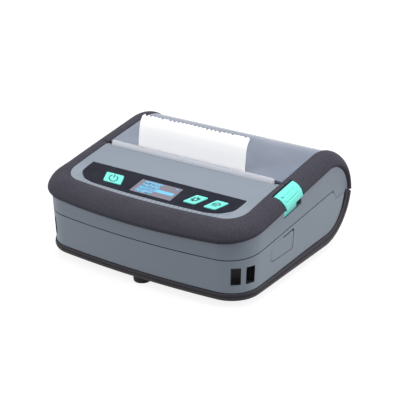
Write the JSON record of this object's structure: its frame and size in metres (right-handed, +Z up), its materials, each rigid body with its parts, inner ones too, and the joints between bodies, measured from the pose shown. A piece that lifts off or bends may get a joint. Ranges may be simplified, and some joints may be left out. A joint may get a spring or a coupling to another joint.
{
  "type": "portable receipt printer",
  "caption": "Portable receipt printer with a rounded case, a hinged lid with a smoky window, a side release latch, panel keys, a display and a torn sheet of paper.",
  "frame": {"origin": "on the floor under the feet, below the middle of the case", "axes": "+X to the right seen from the front, where the latch and the ports are; the front with the control panel faces -Y; +Z up"},
  "size_m": [0.151, 0.1369, 0.0799],
  "materials": {
    "case_grey": "fine-grained satin, blue-grey",
    "deck_grey": "fine-grained satin, lighter blue-grey",
    "rim_charcoal": "textured matt charcoal",
    "base_black": "matt black",
    "overlay_navy": "smooth dark overlay film",
    "teal": "satin teal",
    "smoky_window": "translucent smoky grey",
    "frosted_bar": "frosted clear",
    "screen": "lit display under a clear lens",
    "paper_white": "thermal paper",
    "rubber_black": "matt rubber",
    "flap_rubber": "matt grey rubber",
    "battery_wrap": "shrink wrap",
    "steel": "plain sheet and bar",
    "head_aluminium": "plain",
    "gear_white": "plain acetal",
    "board_green": "solder mask",
    "bronze": "sintered",
    "core_board": "plain"
  },
  "bodies": {
    "case": {"lower_case": "case_grey", "upper_case": "deck_grey", "front_bumper": "rim_charcoal", "base_shell": "base_black", "battery_door": "base_black", "strap_pocket_right": "base_black", "strap_pocket_left": "base_black", "latch_bracket": "base_black", "dc_socket": "base_black", "display_module": "base_black", "control_overlay": "overlay_navy", "tear_bar": "frosted_bar", "display_lens": "screen", "paper_web": "paper_white", "front_foot": "rubber_black", "rear_foot_left": "rubber_black", "rear_foot_right": "rubber_black", "key_pad_left": "rubber_black", "key_pad_right": "rubber_black", "battery_pack": "battery_wrap", "hinge_pin": "steel", "latch_pin": "steel", "latch_spring": "steel", "base_screw_front_left": "steel", "base_screw_front_right": "steel", "base_screw_rear_left": "steel", "base_screw_rear_right": "steel", "chassis": "steel", "idler_axle": "steel", "motor": "steel", "head_bracket": "steel", "head_spring_right": "steel", "head_spring_left": "steel", "usb_socket": "steel", "print_head": "head_aluminium", "main_board": "board_green", "button_board": "board_green"},
    "lid": {"lid_frame": "rim_charcoal", "lid_window": "smoky_window", "platen_bush_right": "bronze", "platen_bush_left": "bronze"},
    "platen": {"platen_roller": "rubber_black", "platen_shaft": "steel", "platen_gear": "gear_white"},
    "idler": {"idler_gear": "gear_white"},
    "motor_rotor": {"motor_pinion": "gear_white"},
    "roll": {"paper_roll": "paper_white", "roll_core": "core_board"},
    "right_guide": {"guide_right": "base_black"},
    "left_guide": {"guide_left": "base_black"},
    "guide_gear": {"guide_pinion": "gear_white"},
    "latch_lever": {"latch": "teal"},
    "flap": {"port_flap": "flap_rubber"},
    "power_key": {"power_button": "teal"},
    "settings_key": {"settings_button": "teal"},
    "feed_key": {"feed_button": "teal"}
  },
  "joints": [
    {"name": "lid_hinge", "type": "hinge", "parent": "case", "child": "lid", "pos_m": [0, 0.0658, 0.036], "axis": [-1, 0, 0], "range_deg": [0, 85]},
    {"name": "platen_spin", "type": "hinge", "parent": "lid", "child": "platen", "pos_m": [0, 0.0029, 0.0508], "axis": [1, 0, 0], "continuous": true},
    {"name": "idler_spin", "type": "hinge", "parent": "case", "child": "idler", "pos_m": [-0.06, 0.0015, 0.03888], "axis": [1, 0, 0], "continuous": true},
    {"name": "motor_spin", "type": "hinge", "parent": "case", "child": "motor_rotor", "pos_m": [-0.06, -0.0025, 0.0295], "axis": [1, 0, 0], "continuous": true},
    {"name": "roll_spin", "type": "hinge", "parent": "case", "child": "roll", "pos_m": [0, 0.0349, 0.032], "axis": [1, 0, 0], "continuous": true},
    {"name": "guide_right_slide", "type": "slide", "parent": "case", "child": "right_guide", "axis": [1, 0, 0], "range_m": [0, 0.014], "stiffness_N_per_m": 30},
    {"name": "guide_left_slide", "type": "slide", "parent": "case", "child": "left_guide", "axis": [-1, 0, 0], "range_m": [0, 0.014]},
    {"name": "guide_pinion_spin", "type": "hinge", "parent": "case", "child": "guide_gear", "pos_m": [-0.00135, 0.0349, 0.009], "axis": [0, 0, 1], "range_deg": [0, 201]},
    {"name": "latch_swing", "type": "hinge", "parent": "case", "child": "latch_lever", "pos_m": [0.0682, -0.007, 0.0556], "axis": [0, -0.9882, -0.1532], "range_deg": [0, 16], "stiffness_Nm_per_rad": 0.05},
    {"name": "flap_hinge", "type": "hinge", "parent": "case", "child": "flap", "pos_m": [0.07222, -0.0161, 0.0199], "axis": [0, 1, 0], "range_deg": [0, 90], "stiffness_Nm_per_rad": 0.002},
    {"name": "power_press", "type": "slide", "parent": "case", "child": "power_key", "axis": [0, 0.1798, -0.9837], "range_m": [0, 0.0006], "stiffness_N_per_m": 400},
    {"name": "settings_press", "type": "slide", "parent": "case", "child": "settings_key", "axis": [0, 0.1798, -0.9837], "range_m": [0, 0.0006], "stiffness_N_per_m": 400},
    {"name": "feed_press", "type": "slide", "parent": "case", "child": "feed_key", "axis": [0, 0.1798, -0.9837], "range_m": [0, 0.0006], "stiffness_N_per_m": 400}
  ],
  "couplings": [
    {"joint": "idler_spin", "follows": "platen_spin", "ratio": -0.81818},
    {"joint": "motor_spin", "follows": "platen_spin", "ratio": 1.5},
    {"joint": "guide_left_slide", "follows": "guide_right_slide", "ratio": 1},
    {"joint": "guide_pinion_spin", "follows": "guide_right_slide", "rad_per_m": 250}
  ]
}
